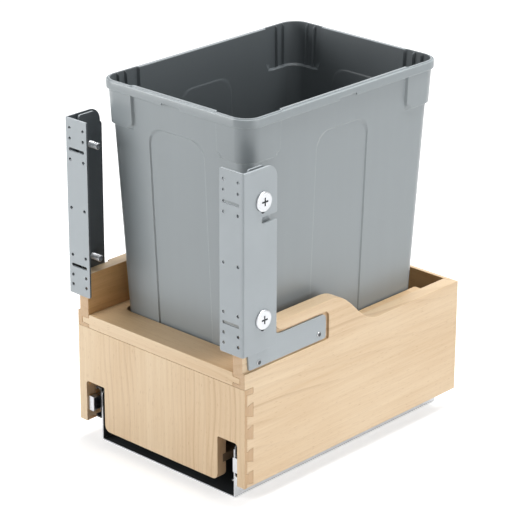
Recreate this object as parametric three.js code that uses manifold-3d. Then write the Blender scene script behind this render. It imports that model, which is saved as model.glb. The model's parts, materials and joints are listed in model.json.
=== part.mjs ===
// Pull-out waste cabinet: a dovetailed wooden tray that carries one tall bin, rolls out of the
// cupboard on two ball-bearing slides, and holds the cupboard door by two adjustable brackets.
// Millimetres, +Z up. +X is to the right of someone who stands in front, the front faces -Y.

import * as THREE from 'three';
import { mergeVertices } from 'three/addons/utils/BufferGeometryUtils.js';
import Module from 'manifold-3d';

const wasm = await Module();
wasm.setup();

// ---------------------------------------------------------------- clearances
const seatGap = 0.3;            // between a part and what it is bolted, pressed or glued to
const boreClearance = 0.5;      // around a screw or pin, on its radius
const chordError = 0.12;        // how far a facet may lie inside its arc

// ---------------------------------------------------------------- wooden tray
const trayWidth = 308.5;
const trayDepth = 426.4;
const trayLift = 27.5;            // underside of the tray's sides above the cupboard floor
const sideThickness = 20.6;
const lowSideHeight = 162.6;    // sides behind the door brackets
const highSideHeight = 216;     // raised ends that hold the door brackets
const swoopStart = 163;         // where the high edge begins to fall, from the front
const swoopLength = 95;
const swoopSteps = 14;
const deckTop = 158.5;
const deckThickness = 19;
const deckArmEnd = 378;         // rear ends of the two deck arms beside the bin
const wellHalfWidth = 117;      // opening in the deck round the bin
const wellFront = 47.6;
const wellCornerRadius = 14;
const tongueLength = 12;        // tongue on the deck's edges, in a groove in each side
const tongueThickness = 8.5;
const frontThickness = 15.9;
const frontDrop = 3.5;          // how far the middle of the front hangs below the sides
const lapThickness = 4.4;       // wood left in front of the blind dovetails
const pinPitch = 32;
const pinCount = 4;
const topPinHeight = 108.5;     // middle of the highest whole pin
const pinHalfHeight = 8;
const pinFlare = 1.8;
const rearThickness = 6;
const rabbetDepth = 9;          // the rear panel's seat in each side
const baseThickness = 12;
const baseTop = 30.4;
const grooveDepth = 6;          // the base panel's seat in the front

// ---------------------------------------------------------------- pan and slides
const panSheet = 2;
const panHalfWidth = 125.1;     // to the outer faces of its flanges
const panFlangeHeight = 78;
const panFront = 12.5;
const panLength = 407.5;
const slideAxisHeight = 54;     // middle of the slides above the cupboard floor
const slideHeight = 45.6;
const slideReach = 15.8;        // from the flange to the side panel
const slideSheet = 1.5;
const slideLength = 404;
const middleSlideLength = 380;
const runnerFront = 2.8;        // bent front tab of the slide part that rides with the tray
const runnerTabHeight = 21;
const runnerTabWidth = 10;
const notchHalfWidth = 105.8;   // inner edge of the openings that the slides pass through
const notchHeight = 60;
const middleSlideHeight = 33.2;
const runnerHeight = 19.6;
const ballRadius = 2;
const ballsPerRow = 4;
const bufferLength = 34;
const bufferHeight = 30;
const bufferThickness = 9;
const bufferInset = 14;         // behind the pan's front edge
const panBend = 3;              // outside radius of the pan's folds
const panHoleInset = 35;        // screw slots, in from the flanges
const panHoleMargin = 40;       // first and last screw slots, in from the pan's ends
const panHoleWidth = 6;
const panHoleLength = 18;
const panCornerCut = 8;         // chamfer on the flanges' front top corners
const rivetInset = 60;          // first and last rivets, in from the pan's ends
const rivetRadius = 2;
const rivetHeadRadius = 4;
const rivetHeadHeight = 1;
const channelBend = 2;          // outside radius of the slides' folds
const lipReach = 11;            // how far the outer channel's flanges reach from its web
const lipCurl = 3;
const middleWeb = 3;            // from the outer channel's web to the middle channel's
const middleSheet = 1.4;
const middleCurl = 1.6;
const middleSetback = 8;        // the middle channel starts behind the pan's front
const runnerSheet = 1.4;
const runnerFlangeReach = 9.6;
const runnerTabSheet = 1.7;
const cageSheet = 0.6;
const cageLength = 170;
const cageFronts = { outer: 125, inner: 205 };

// ---------------------------------------------------------------- door brackets
const pocketDepth = 4.2;        // recess for the arm plate in each side's outer face
const pocketFloorHeight = 160.9;
const pocketEnd = 159.1;
const pocketTop = 201.5;
const pocketOpenEnd = 54.5;     // in front of this the side is cut down to the pocket's floor
const armSheet = 2.5;
const armFoot = 163.3;
const armFront = 7.5;
const armRear = 47.3;
const armTabRear = 36;
const armTop = 433;
const armSlant = 2.1;           // the foot's front corner stands behind the front edge
const armShoulder = 415;
const armReach = 154.2;
const armEdgeHeight = 198;
const flangeSheet = 2.5;
const flangeFront = -9;
const flangeInner = 119.5;
const flangeOuter = 160.5;
const flangeBottom = 188.3;
const flangeTop = 433.4;
const cheekRear = 51.5;
const cheekCornerRadius = 17.5;
const cheekNotchHeight = 364.5;
const cheekNotchWidth = 9;
const cheekNotchFront = 24;
const clampInset = 26.5;        // clamp screws behind the tray's front
const clampRise = 15.4;         // lower clamp screws above the sides' high ends
const clampHeights = { lower: highSideHeight + clampRise, upper: 389.3 };
const clampHeadRadius = 13.5;
const clampHeadHeight = 3;
const clampShankRadius = 3;
const clampShankLength = 20;
const crossWidth = 2.4;
const crossLength = 11;
const crossDepth = 1.4;
const clampSlot = { below: 16, above: 8 };  // cheek slots, past the clamp screws' middles
const sleeveRadius = 4.6;
const sleeveReach = 15;         // past the arm plate's inner face
const collarRadius = 9;
const doorHoleRadius = 2.4;
const doorColumnInset = 6.8;    // from the flange's free edge to the inner column of holes
const doorColumnSpacing = 25;
const doorHoleRows = [201.2, 215.2, 243.3, 309.7, 377, 405.7, 420];
const doorSlotRows = [229.3, 391];
const doorSlotLength = 29;
const armScrewSpots = { front: [27.3, 169.8], rear: [140.8, 172.5] };
const armScrewHeadRadius = 3.75;
const armScrewHeadHeight = 1.6;
const armScrewRadius = 1.7;
const armScrewLength = 12;

// ---------------------------------------------------------------- bin
const binHeight = 454.6;
const binRimHalfWidth = 133.5;
const binRimHalfLength = 188;
const binMiddle = 213.6;        // behind the tray's front
const binWall = 2.6;
const binFootHalfWidth = 109.5;
const binFootHalfLength = 157.2;
const binFootEdge = 6;          // rounding between the bin's walls and floor
const binNeckInset = 6.5;       // body under the rim, in from the skirt's outer face
const skirtHeight = 12.6;
const skirtThickness = 2.4;
const rimEase = 1;              // small round on the skirt's upper edge
const skirtNotchWidth = 33;     // shallow notch in the middle of each skirt
const skirtNotchHeight = 3;
const rimStep = 1.2;            // the rim's flange lies this far below its bead
const beadInset = 4.6;
const rimCornerRadius = 27;
const footCornerRadius = 15;
const panelWidth = 98;          // pressed arch in each wall
const panelTop = 404;
const panelFoot = 30;
const panelCornerRadius = 24;
const panelDepth = 2;
const padFoot = 394;            // proud corner pads under the rim
const padProud = 4;
const padCornerRadius = 12;
const padReach = { ends: 52, sides: 60 };      // along the short and the long walls
const ribThickness = 1.6;       // upright ribs inside each corner pad
const ribSpots = [23.5, 37.5];  // from the walls' neck

// ---------------------------------------------------------------- finishes
const finish = (color, roughness, metalness) =>
  () => new THREE.MeshStandardMaterial({ color, roughness, metalness });
const mapleWood = finish(0xdec8a5, 0.6, 0);
const greyPaint = finish(0xb4bcc0, 0.45, 0.35);
const darkSteel = finish(0x3b4043, 0.5, 0.6);
const brightZinc = finish(0xc9cdd0, 0.3, 0.9);
const greyPlastic = finish(0x9aa2a5, 0.5, 0);
const blackPlastic = finish(0x1d1f21, 0.55, 0);

// ---------------------------------------------------------------- shape helpers
const xAxis = new THREE.Vector3(1, 0, 0);
const yAxis = new THREE.Vector3(0, 1, 0);
const zAxis = new THREE.Vector3(0, 0, 1);

// Steps on an arc, so that no facet strays from the true curve by more than chordError.
const arcSteps = (radius, sweep) =>
  Math.max(2, Math.ceil(Math.abs(sweep) / (2 * Math.acos(1 - chordError / radius))));

// An outline through corners [u, v, radius], each with its own fillet.
function outline(corners, Kind = THREE.Shape) {
  const sharp = corners.map(([u, v]) => new THREE.Vector2(u, v));
  const points = corners.flatMap(([, , radius = 0], index) => {
    const corner = sharp[index];
    if (radius === 0) return [corner];
    const back = sharp.at(index - 1).clone().sub(corner).normalize();
    const ahead = sharp[(index + 1) % sharp.length].clone().sub(corner).normalize();
    const half = Math.acos(back.dot(ahead)) / 2;
    const towards = back.clone().add(ahead).normalize();
    const centre = corner.clone().addScaledVector(towards, radius / Math.sin(half));
    const start = corner.clone().addScaledVector(back, radius / Math.tan(half)).sub(centre);
    const sweep = (Math.PI - 2 * half) * Math.sign(ahead.cross(back));
    const steps = arcSteps(radius, sweep);
    return Array.from({ length: steps + 1 }, (_, step) =>
      start.clone().rotateAround(new THREE.Vector2(), sweep * step / steps).add(centre));
  });
  return new Kind(points);
}

const rectangle = (u0, u1, v0, v1, radius = 0, Kind = THREE.Shape) =>
  outline([[u0, v0, radius], [u1, v0, radius], [u1, v1, radius], [u0, v1, radius]], Kind);

function circle(u, v, radius, Kind = THREE.Path) {
  const steps = arcSteps(radius, 2 * Math.PI);
  return new Kind(Array.from({ length: steps }, (_, step) => {
    const angle = 2 * Math.PI * step / steps;
    return new THREE.Vector2(u + radius * Math.cos(angle), v + radius * Math.sin(angle));
  }));
}

// A closed solid from a geometry: only positions, shared corners merged.
function solid(geometry) {
  const bare = geometry.clone();
  bare.deleteAttribute('normal');
  bare.deleteAttribute('uv');
  const merged = mergeVertices(bare, 1e-4);
  return new wasm.Manifold(new wasm.Mesh({
    numProp: 3,
    vertProperties: new Float32Array(merged.attributes.position.array),
    triVerts: new Uint32Array(merged.index.array),
  }));
}

function geometryOf(body) {
  const mesh = body.getMesh();
  const geometry = new THREE.BufferGeometry();
  const positions = [];
  for (let vertex = 0; vertex < mesh.numVert; vertex += 1) {
    const start = vertex * mesh.numProp;
    positions.push(...mesh.vertProperties.slice(start, start + 3));
  }
  geometry.setAttribute('position', new THREE.Float32BufferAttribute(positions, 3));
  geometry.setIndex([...mesh.triVerts]);
  return geometry;
}

const union = (bodies) => bodies.reduce((sum, body) => sum.add(body));
const cut = (body, tools) => tools.reduce((rest, tool) => rest.subtract(tool), body);

// Straight prisms of an outline, from one coordinate to another along an axis.
function prism(shape, from, to, across, up, along) {
  const options = { depth: to - from, bevelEnabled: false, curveSegments: swoopSteps };
  const geometry = new THREE.ExtrudeGeometry(shape, options);
  geometry.applyMatrix4(new THREE.Matrix4().makeBasis(across, up, along));
  return geometry;
}
const prismX = (shape, from, to) =>
  solid(prism(shape, from, to, yAxis, zAxis, xAxis).translate(from, 0, 0));
const prismY = (shape, from, to) =>
  solid(prism(shape, from, to, xAxis, zAxis, yAxis.clone().negate()).translate(0, to, 0));
const prismZ = (shape, from, to) =>
  solid(prism(shape, from, to, xAxis, yAxis, zAxis).translate(0, 0, from));

const boxSolid = (x0, x1, y0, y1, z0, z1) => prismZ(rectangle(x0, x1, y0, y1), z0, z1);

// A turned solid about an X axis, from a profile of [distance along X, radius] pairs.
function turnedX(profile, y, z) {
  const widest = Math.max(...profile.map(([, radius]) => radius));
  const segments = arcSteps(widest, 2 * Math.PI);
  const points = profile.map(([along, radius]) => new THREE.Vector2(radius, along));
  const lathe = new THREE.LatheGeometry(points, segments);
  lathe.applyMatrix4(new THREE.Matrix4().makeBasis(zAxis, xAxis, yAxis));
  return solid(lathe.translate(0, y, z));
}
const rodX = (from, to, radius, y, z) =>
  turnedX([[from, 0], [from, radius], [to, radius], [to, 0]], y, z);

// The same piece on the left: mirrored about X, with its faces turned the right way out.
function mirrored(geometry) {
  const copy = geometry.clone().scale(-1, 1, 1);
  const index = copy.index.array;
  for (let corner = 0; corner < index.length; corner += 3) {
    [index[corner], index[corner + 1]] = [index[corner + 1], index[corner]];
  }
  return copy;
}

function part(name, body, material) {
  const geometry = body.isBufferGeometry ? body : geometryOf(body);
  geometry.computeVertexNormals();
  const mesh = new THREE.Mesh(geometry, material());
  mesh.name = name;
  return mesh;
}

function pair(name, body, material) {
  const right = geometryOf(body);
  return [part(`${name}_left`, mirrored(right), material), part(`${name}_right`, right, material)];
}

// ---------------------------------------------------------------- wooden tray
const halfTray = trayWidth / 2;
const sideInner = halfTray - sideThickness;
const deckUnderside = deckTop - deckThickness;
const deckMiddle = deckTop - deckThickness / 2;
const frontTop = deckUnderside - seatGap;
const slideFace = panHalfWidth + slideReach;
const rearFace = trayDepth - rearThickness;

// Outline of a side panel seen from the right: high ends, then an S-curve down to the rear.
function sideOutline() {
  const fall = swoopLength * 0.42;
  const shape = new THREE.Shape();
  shape.moveTo(0, 0);
  shape.lineTo(trayDepth, 0);
  shape.lineTo(trayDepth, lowSideHeight);
  shape.lineTo(swoopStart + swoopLength, lowSideHeight);
  shape.bezierCurveTo(
    swoopStart + swoopLength - fall, lowSideHeight,
    swoopStart + fall, highSideHeight,
    swoopStart, highSideHeight,
  );
  shape.lineTo(0, highSideHeight);
  shape.closePath();
  return shape;
}

// Dovetail pins of the front's right end, seen from the side; grow widens them into sockets.
function frontPins(grow) {
  const front = lapThickness - grow;
  const rear = frontThickness + grow;
  const low = pinHalfHeight - pinFlare + grow;
  const high = pinHalfHeight + pinFlare + grow;
  const pins = [];
  for (let index = 0; index < pinCount; index += 1) {
    const middle = topPinHeight - index * pinPitch;
    const shape = outline([
      [front, middle - low], [rear, middle - high], [rear, middle + high], [front, middle + low],
    ]);
    pins.push(prismX(shape, sideInner - grow, halfTray + grow));
  }
  const halfPin = rectangle(front, rear, frontTop - pinHalfHeight - grow, frontTop + grow);
  pins.push(prismX(halfPin, sideInner - grow, halfTray + grow));
  return union(pins);
}

// Everything that the door bracket's arm plate needs cut from a side's outer face.
function bracketPocket() {
  const lower = pocketFloorHeight;
  const fingerDrop = highSideHeight + 8;
  const shape = outline([
    [-1, lower], [pocketEnd, lower, 3], [pocketEnd, pocketTop, 9],
    [pocketOpenEnd, pocketTop, 20], [pocketOpenEnd, fingerDrop], [-1, fingerDrop],
  ]);
  return prismX(shape, halfTray - pocketDepth, halfTray + 1);
}

function screwBores(radius, length) {
  const from = halfTray - pocketDepth;
  return union(Object.values(armScrewSpots).map(([y, z]) => rodX(from - length, from + 1, radius, y, z)));
}

function sidePanel() {
  const board = prismX(sideOutline(), sideInner, halfTray);
  const lap = boxSolid(sideInner - 1, halfTray + 1, -1, lapThickness + seatGap, -1, frontTop + seatGap);
  const groove = boxSolid(
    sideInner - 1, sideInner + tongueLength + seatGap,
    -1, deckArmEnd + seatGap,
    deckMiddle - tongueThickness / 2 - seatGap, deckMiddle + tongueThickness / 2 + seatGap,
  );
  const slideRebate = boxSolid(sideInner - 1, slideFace, -1, trayDepth + 1, -1, notchHeight);
  const rearRabbet = boxSolid(
    sideInner - 1, sideInner + rabbetDepth, rearFace - seatGap, trayDepth + 1, -1, lowSideHeight + 1,
  );
  return cut(board, [
    lap, frontPins(seatGap), groove, slideRebate, rearRabbet,
    bracketPocket(), screwBores(armScrewRadius + boreClearance, armScrewLength),
  ]);
}
// The front hangs below the sides in the middle, and stands clear of both slides.
function frontPanel() {
  const foot = -frontDrop;
  const shape = outline([
    [-halfTray, 0], [-slideFace, 0], [-slideFace, notchHeight, 4], [-notchHalfWidth, notchHeight, 2],
    [-notchHalfWidth, foot, 9], [notchHalfWidth, foot, 9],
    [notchHalfWidth, notchHeight, 2], [slideFace, notchHeight, 4], [slideFace, 0], [halfTray, 0],
    [halfTray, frontTop], [-halfTray, frontTop],
  ]);
  const board = prismY(shape, 0, frontThickness);
  const behindLap = boxSolid(
    sideInner - seatGap, halfTray + 1, lapThickness, frontThickness + 1, -1, frontTop + 1,
  );
  const halfBlind = behindLap.subtract(frontPins(0));
  const halfBlindLeft = solid(mirrored(geometryOf(halfBlind)));
  return cut(board, [halfBlind, halfBlindLeft, baseGroove()]);
}

function baseGroove() {
  const low = baseTop - baseThickness - seatGap;
  const width = notchHalfWidth + 1;
  return boxSolid(-width, width, frontThickness - grooveDepth, frontThickness + 1, low, baseTop + seatGap);
}

function basePanel() {
  const half = notchHalfWidth - seatGap;
  const front = frontThickness - grooveDepth + seatGap;
  return boxSolid(-half, half, front, rearFace - 2 * seatGap, baseTop - baseThickness, baseTop);
}

function rearPanel() {
  const half = sideInner + rabbetDepth - seatGap;
  const foot = baseTop - baseThickness;
  const shape = outline([
    [-half, notchHeight], [-notchHalfWidth, notchHeight, 2], [-notchHalfWidth, foot, 9],
    [notchHalfWidth, foot, 9], [notchHalfWidth, notchHeight, 2], [half, notchHeight],
    [half, lowSideHeight], [-half, lowSideHeight],
  ]);
  return prismY(shape, rearFace, trayDepth);
}

// A U-shaped deck round the bin, with a centred tongue along both outer edges.
function deckPanel() {
  const half = sideInner - seatGap;
  const shape = outline([
    [-half, 0], [half, 0], [half, deckArmEnd], [wellHalfWidth, deckArmEnd, 3],
    [wellHalfWidth, wellFront, wellCornerRadius], [-wellHalfWidth, wellFront, wellCornerRadius],
    [-wellHalfWidth, deckArmEnd, 3], [-half, deckArmEnd],
  ]);
  const board = prismZ(shape, deckUnderside, deckTop);
  const tongues = [-1, 1].map((hand) => {
    const edges = [hand * (half - 1), hand * (sideInner + tongueLength)].sort((a, b) => a - b);
    return boxSolid(
      ...edges, 0, deckArmEnd, deckMiddle - tongueThickness / 2, deckMiddle + tongueThickness / 2,
    );
  });
  return union([board, ...tongues]);
}

// ---------------------------------------------------------------- pan
const rivetSpots = {
  front: panFront + rivetInset,
  middle: panFront + panLength / 2,
  rear: panFront + panLength - rivetInset,
};

function mountingPan() {
  const inner = panHalfWidth - panSheet;
  const innerBend = panBend - panSheet;
  const section = outline([
    [-panHalfWidth, 0, panBend], [panHalfWidth, 0, panBend], [panHalfWidth, panFlangeHeight],
    [inner, panFlangeHeight], [inner, panSheet, innerBend], [-inner, panSheet, innerBend],
    [-inner, panFlangeHeight], [-panHalfWidth, panFlangeHeight],
  ]);
  const rear = panFront + panLength;
  const tray = prismY(section, panFront, rear);
  const screwRows = [panFront + panHoleMargin, panFront + panLength / 2, rear - panHoleMargin];
  const screwX = panHalfWidth - panHoleInset;
  const screwHoles = screwRows.flatMap((y) => [-screwX, screwX].map((x) => {
    const slot = rectangle(
      x - panHoleWidth / 2, x + panHoleWidth / 2,
      y - panHoleLength / 2, y + panHoleLength / 2, panHoleWidth / 2 - 0.1,
    );
    return prismZ(slot, -1, panSheet + 1);
  }));
  const corner = outline([
    [panFront - 1, panFlangeHeight - panCornerCut], [panFront, panFlangeHeight - panCornerCut],
    [panFront + panCornerCut, panFlangeHeight], [panFront + panCornerCut, panFlangeHeight + 1],
    [panFront - 1, panFlangeHeight + 1],
  ]);
  const rivetHoles = [-1, 1].flatMap((hand) => Object.values(rivetSpots).map((y) => {
    const reach = [hand * (inner - 1), hand * (panHalfWidth + 1)].sort((a, b) => a - b);
    return rodX(...reach, rivetRadius + boreClearance, y, slideAxisHeight);
  }));
  const chamfer = prismX(corner, -panHalfWidth - 1, panHalfWidth + 1);
  return cut(tray, [...screwHoles, ...rivetHoles, chamfer]);
}
// A rivet that fastens a slide's outer channel to the pan's flange, flush inside the channel.
function panRivet(y) {
  const inner = panHalfWidth - panSheet;
  const web = panHalfWidth + seatGap + slideSheet;
  const profile = [
    [inner - seatGap - rivetHeadHeight, 0], [inner - seatGap - rivetHeadHeight, rivetHeadRadius - 1],
    [inner - seatGap, rivetHeadRadius], [inner - seatGap, rivetRadius],
    [web, rivetRadius], [web, 0],
  ];
  return turnedX(profile, y, slideAxisHeight);
}

// Soft block inside the flange, where the tray comes to rest.
function stopBuffer() {
  const outer = panHalfWidth - panSheet - seatGap;
  const y0 = panFront + bufferInset;
  const low = panSheet + seatGap;
  const shape = rectangle(y0, y0 + bufferLength, low + 8, low + 8 + bufferHeight, 7);
  const foot = rectangle(y0 + 4, y0 + bufferLength - 4, low, low + 16);
  return union([
    prismX(shape, outer - bufferThickness, outer),
    prismX(foot, outer - bufferThickness + 3, outer),
  ]);
}

// ---------------------------------------------------------------- ball-bearing slides
// Each channel is a bent strip; u runs from the pan's flange to the tray's side, w up from the axis.
const slideOrigin = panHalfWidth + seatGap;
const slideInnerDepth = slideReach - 2 * seatGap;

function channel(corners, front, length) {
  const shape = outline(corners.map(([u, w, radius]) => [slideOrigin + u, slideAxisHeight + w, radius]));
  return prismY(shape, front, front + length);
}

function cabinetSlide() {
  const half = slideHeight / 2;
  const t = slideSheet;
  const body = channel([
    [0, -half, channelBend], [lipReach, -half, channelBend], [lipReach, -half + t + lipCurl],
    [lipReach - t, -half + t + lipCurl], [lipReach - t, -half + t, channelBend - t],
    [t, -half + t, channelBend - t], [t, half - t, channelBend - t],
    [lipReach - t, half - t, channelBend - t], [lipReach - t, half - t - lipCurl],
    [lipReach, half - t - lipCurl], [lipReach, half, channelBend], [0, half, channelBend],
  ], panFront, slideLength);
  const bores = Object.values(rivetSpots).map((y) =>
    rodX(slideOrigin - 1, slideOrigin + t + 1, rivetRadius + boreClearance, y, slideAxisHeight));
  return cut(body, bores);
}

function middleSlide() {
  const half = middleSlideHeight / 2;
  const t = middleSheet;
  const lip = middleWeb + lipReach - slideSheet;
  const fold = channelBend - t;
  return channel([
    [middleWeb, -half, channelBend], [lip, -half], [lip, -half + t + middleCurl],
    [lip - t, -half + t + middleCurl], [lip - t, -half + t, fold], [middleWeb + t, -half + t, fold],
    [middleWeb + t, half - t, fold], [lip - t, half - t, fold], [lip - t, half - t - middleCurl],
    [lip, half - t - middleCurl], [lip, half], [middleWeb, half, channelBend],
  ], panFront + middleSetback, middleSlideLength);
}

function runnerSlide() {
  const half = runnerHeight / 2;
  const t = runnerSheet;
  const face = slideInnerDepth;
  const inner = face - runnerFlangeReach;
  const body = channel([
    [inner, -half], [face, -half, 1.5], [face, half, 1.5], [inner, half],
    [inner, half - t], [face - t, half - t, 0.6], [face - t, -half + t, 0.6], [inner, -half + t],
  ], runnerFront + runnerTabSheet - 0.1, slideLength);
  const tabOuter = slideOrigin + face;
  const tabLow = slideAxisHeight - runnerTabHeight / 2;
  const tab = prismY(
    rectangle(tabOuter - runnerTabWidth, tabOuter, tabLow, tabLow + runnerTabHeight, 1.5),
    runnerFront, runnerFront + runnerTabSheet,
  );
  return union([body, tab]);
}

// A U-shaped strip that keeps two rows of balls apart; web is its depth, row its balls' depth.
function ballCage(web, row, w, front, length) {
  const t = cageSheet;
  const edge = row + ballRadius * 0.6;
  const strip = channel([
    [web, -w - t / 2, 0.6], [edge, -w - t / 2], [edge, -w + t / 2], [web + t, -w + t / 2],
    [web + t, w - t / 2], [edge, w - t / 2], [edge, w + t / 2], [web, w + t / 2, 0.6],
  ], front, length);
  const balls = [-1, 1].flatMap((hand) => Array.from({ length: ballsPerRow }, (_, index) => {
    const y = front + (index + 0.5) * length / ballsPerRow;
    const ball = new THREE.SphereGeometry(ballRadius, 6, 4).rotateX(Math.PI / 2);
    return solid(ball.translate(slideOrigin + row, y, slideAxisHeight + hand * w));
  }));
  return union([strip, ...balls]);
}

function outerCage() {
  const web = (slideSheet + middleWeb - cageSheet) / 2;
  const w = (slideHeight / 2 - slideSheet + middleSlideHeight / 2) / 2;
  return ballCage(web, (middleWeb + lipReach) / 2, w, cageFronts.outer, cageLength);
}

function innerCage() {
  const runnerEdge = slideInnerDepth - runnerFlangeReach;
  const web = (middleWeb + middleSheet + runnerEdge - cageSheet) / 2;
  const w = (middleSlideHeight / 2 - middleSheet + runnerHeight / 2) / 2;
  return ballCage(web, (runnerEdge + lipReach) / 2, w, cageFronts.inner, cageLength);
}

// ---------------------------------------------------------------- door brackets
const pocketFace = halfTray - pocketDepth;
const armInner = pocketFace + seatGap;
const armOuter = armInner + armSheet;
const cheekInner = flangeOuter - flangeSheet;

function armPlate() {
  const shape = outline([
    [armFront + armSlant, armFoot, 1.5], [armReach, armFoot, 4], [armReach, armEdgeHeight, 8],
    [armRear, armEdgeHeight, 22], [armRear, armShoulder, 5], [armTabRear, armShoulder + 7, 5],
    [armTabRear, armTop, 4], [armFront, armTop, 3], [armFront, armFoot + 24],
  ]);
  const bores = Object.values(clampHeights).map((z) => circle(clampInset, z, sleeveRadius + boreClearance));
  const screwHoles = Object.values(armScrewSpots).map(([y, z]) => circle(y, z, armScrewRadius + boreClearance));
  shape.holes.push(...bores, ...screwHoles);
  return prismX(shape, armInner, armOuter);
}

function armScrew(spot) {
  const seat = armOuter + seatGap;
  const profile = [
    [seat - armScrewLength, 0], [seat - armScrewLength + 2, armScrewRadius], [seat, armScrewRadius],
    [seat, armScrewHeadRadius], [seat + armScrewHeadHeight * 0.6, armScrewHeadRadius * 0.85],
    [seat + armScrewHeadHeight, armScrewHeadRadius * 0.4], [seat + armScrewHeadHeight, 0],
  ];
  return turnedX(profile, ...spot);
}

// Threaded sleeve with a collar that spaces the door bracket from the arm plate.
function sleeve(z) {
  const bore = clampShankRadius + boreClearance;
  const inner = armInner - sleeveReach;
  const collarFrom = armOuter + seatGap;
  const collarTo = cheekInner - seatGap;
  return turnedX([
    [inner, bore], [inner, sleeveRadius - 0.6], [inner + 0.6, sleeveRadius], [collarFrom, sleeveRadius],
    [collarFrom, collarRadius], [collarTo, collarRadius], [collarTo, bore], [inner, bore],
  ], clampInset, z);
}

function clampScrew(z) {
  const seat = flangeOuter + seatGap;
  const screw = turnedX([
    [seat - clampShankLength, 0], [seat - clampShankLength, clampShankRadius - 0.8],
    [seat - clampShankLength + 1, clampShankRadius], [seat, clampShankRadius],
    [seat, clampHeadRadius - 0.5], [seat + 0.8, clampHeadRadius],
    [seat + clampHeadHeight - 0.9, clampHeadRadius - 0.6], [seat + clampHeadHeight, clampHeadRadius - 2.4],
    [seat + clampHeadHeight, 0],
  ], clampInset, z);
  const top = seat + clampHeadHeight;
  const half = crossLength / 2;
  const wide = crossWidth / 2;
  const upright = rectangle(clampInset - wide, clampInset + wide, z - half, z + half);
  const level = rectangle(clampInset - half, clampInset + half, z - wide, z + wide);
  const cross = [upright, level].map((shape) => prismX(shape, top - crossDepth, top + 1));
  return cut(screw, cross);
}

// Folded sheet: a drilled flange for the door, and a cheek that the clamp screws pass through.
function doorBracket() {
  const section = outline([
    [flangeInner, flangeFront], [flangeOuter, flangeFront, 3.5], [flangeOuter, cheekRear],
    [cheekInner, cheekRear], [cheekInner, flangeFront + flangeSheet, 1],
    [flangeInner, flangeFront + flangeSheet],
  ]);
  const sheet = prismZ(section, flangeBottom, flangeTop);
  const cheek = outline([
    [flangeFront - 1, flangeBottom - 1], [cheekRear, flangeBottom - 1], [cheekRear, flangeBottom, 0],
    [cheekRear, cheekNotchHeight - cheekNotchWidth / 2, 2],
    [cheekNotchFront, cheekNotchHeight - cheekNotchWidth / 2, 3],
    [cheekNotchFront, cheekNotchHeight + cheekNotchWidth / 2, 3],
    [cheekRear, cheekNotchHeight + cheekNotchWidth / 2, 2],
    [cheekRear, flangeTop, cheekCornerRadius], [flangeFront - 1, flangeTop],
  ]);
  const slotHalf = clampShankRadius + 1;
  const slots = Object.values(clampHeights).map((z) => rectangle(
    clampInset - slotHalf, clampInset + slotHalf,
    z - clampSlot.below, z + clampSlot.above, slotHalf - 0.1, THREE.Path,
  ));
  cheek.holes.push(...slots);
  const cheekForm = prismX(cheek, flangeInner - 1, flangeOuter + 1);
  const columns = [flangeInner + doorColumnInset, flangeInner + doorColumnInset + doorColumnSpacing];
  const face = rectangle(flangeInner, flangeOuter + 1, flangeBottom, flangeTop, 2.5);
  for (const z of doorHoleRows) {
    face.holes.push(...columns.map((x) => circle(x, z, doorHoleRadius)));
  }
  const slotMiddle = (columns[0] + columns[1]) / 2;
  for (const z of doorSlotRows) {
    const half = doorSlotLength / 2;
    face.holes.push(rectangle(
      slotMiddle - half, slotMiddle + half, z - doorHoleRadius, z + doorHoleRadius, 2.3, THREE.Path,
    ));
  }
  const faceForm = prismY(face, flangeFront - 1, cheekRear + 1);
  return sheet.intersect(cheekForm).intersect(faceForm);
}

// ---------------------------------------------------------------- bin
// The bin stands on its own origin: the middle of its foot.
const neckHalfWidth = binRimHalfWidth - binNeckInset;
const neckHalfLength = binRimHalfLength - binNeckInset;
const underRim = binHeight - rimStep - binWall;

// A rounded rectangle as a closed ring of points at one height.
function ring(halfWidth, halfLength, radius, z, perCorner = 6) {
  const points = [];
  [[1, 1], [-1, 1], [-1, -1], [1, -1]].forEach(([signX, signY], corner) => {
    for (let step = 0; step <= perCorner; step += 1) {
      const angle = (corner + step / perCorner) * Math.PI / 2;
      points.push(new THREE.Vector3(
        signX * (halfWidth - radius) + radius * Math.cos(angle),
        signY * (halfLength - radius) + radius * Math.sin(angle),
        z,
      ));
    }
  });
  return points;
}

// Skin a list of rings from a closed foot to a closed top.
function loft(rings) {
  const count = rings[0].length;
  const positions = rings.flat().flatMap((point) => point.toArray());
  const faces = [];
  for (let level = 0; level + 1 < rings.length; level += 1) {
    for (let index = 0; index < count; index += 1) {
      const next = (index + 1) % count;
      const low = level * count;
      const high = low + count;
      faces.push(low + index, low + next, high + next, low + index, high + next, high + index);
    }
  }
  const capCorners = rings[0].map((point) => new THREE.Vector2(point.x, point.y));
  for (const [a, b, c] of THREE.ShapeUtils.triangulateShape(capCorners, [])) {
    faces.push(a, c, b);
    const top = (rings.length - 1) * count;
    faces.push(top + a, top + b, top + c);
  }
  const geometry = new THREE.BufferGeometry();
  geometry.setAttribute('position', new THREE.Float32BufferAttribute(positions, 3));
  geometry.setIndex(faces);
  return solid(geometry);
}

// The tapered body's ring at a height, inset from its outer wall.
function bodyRing(height, inset) {
  const share = height / binHeight;
  const mix = THREE.MathUtils.lerp;
  return ring(
    mix(binFootHalfWidth, neckHalfWidth, share) - inset,
    mix(binFootHalfLength, neckHalfLength, share) - inset,
    mix(footCornerRadius, rimCornerRadius - binNeckInset, share) - inset,
    height,
  );
}

const rimRing = (inset, height) =>
  ring(binRimHalfWidth - inset, binRimHalfLength - inset, rimCornerRadius - inset, height);

// A form and its copy half a turn round the bin.
function twice(body) {
  return [body, solid(geometryOf(body).rotateZ(Math.PI))];
}

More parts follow.
